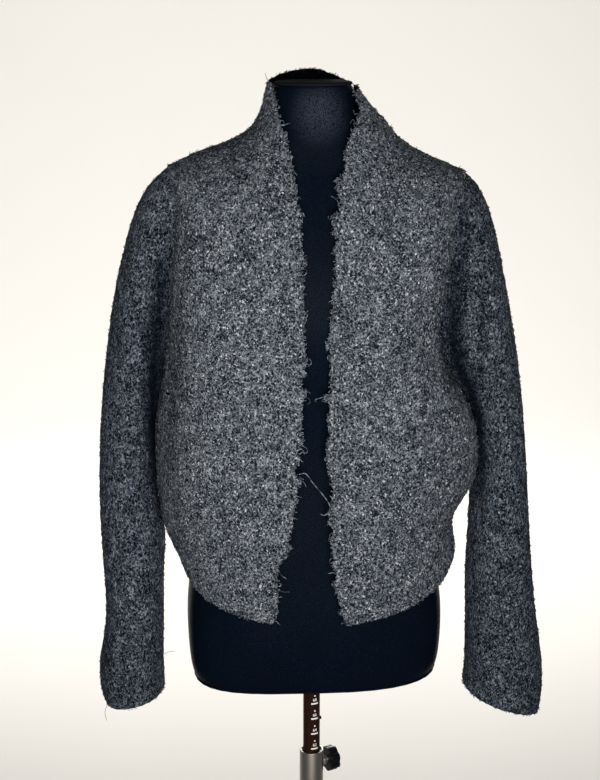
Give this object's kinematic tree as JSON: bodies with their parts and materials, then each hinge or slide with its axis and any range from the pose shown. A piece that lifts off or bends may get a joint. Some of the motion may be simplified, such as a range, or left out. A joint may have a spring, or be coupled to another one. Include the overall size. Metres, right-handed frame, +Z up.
{
  "type": "wool jacket on a dress form",
  "caption": "Open-front wool jacket with a cut-on collar and long sleeves, hanging on a limbless dress form with a height-adjustable pole stand.",
  "frame": {"origin": "on the floor, at the middle of the base plate's underside, on the pole's axis", "axes": "+Z up along the pole; the front of the jacket faces -Y; the wearer's left sleeve is at +X"},
  "size_m": [0.5395, 0.32, 1.4403],
  "materials": {
    "wool": "matte boucle",
    "form_cover": "smooth jersey",
    "neck_cap": "matte",
    "pole": "satin with a printed scale",
    "brushed_metal": "brushed",
    "black_plastic": "satin",
    "base_paint": "satin"
  },
  "bodies": {
    "stand": {"base_plate": "base_paint", "base_socket": "base_paint", "outer_tube": "brushed_metal", "tube_insert": "black_plastic", "clamp_nut": "brushed_metal"},
    "mast": {"inner_pole": "pole", "stop_pin": "black_plastic"},
    "figure": {"torso": "form_cover", "neck_cap": "neck_cap", "front_right": "wool", "front_left": "wool", "back": "wool", "sleeve_right": "wool", "sleeve_left": "wool"},
    "clamp": {"clamp_screw": "brushed_metal", "clamp_knob": "black_plastic"}
  },
  "joints": [
    {"name": "height_slide", "type": "slide", "parent": "stand", "child": "mast", "axis": [0, 0, 1], "range_m": [-0.039, 0.2]},
    {"name": "figure_turn", "type": "hinge", "parent": "mast", "child": "figure", "pos_m": [0, 0, 0.88], "axis": [0, 0, 1], "range_deg": [-180, 180]},
    {"name": "knob_turn", "type": "hinge", "parent": "stand", "child": "clamp", "pos_m": [0, 0, 0.6015], "axis": [0.8829, 0.4695, 0], "range_deg": [-360, 360]}
  ]
}
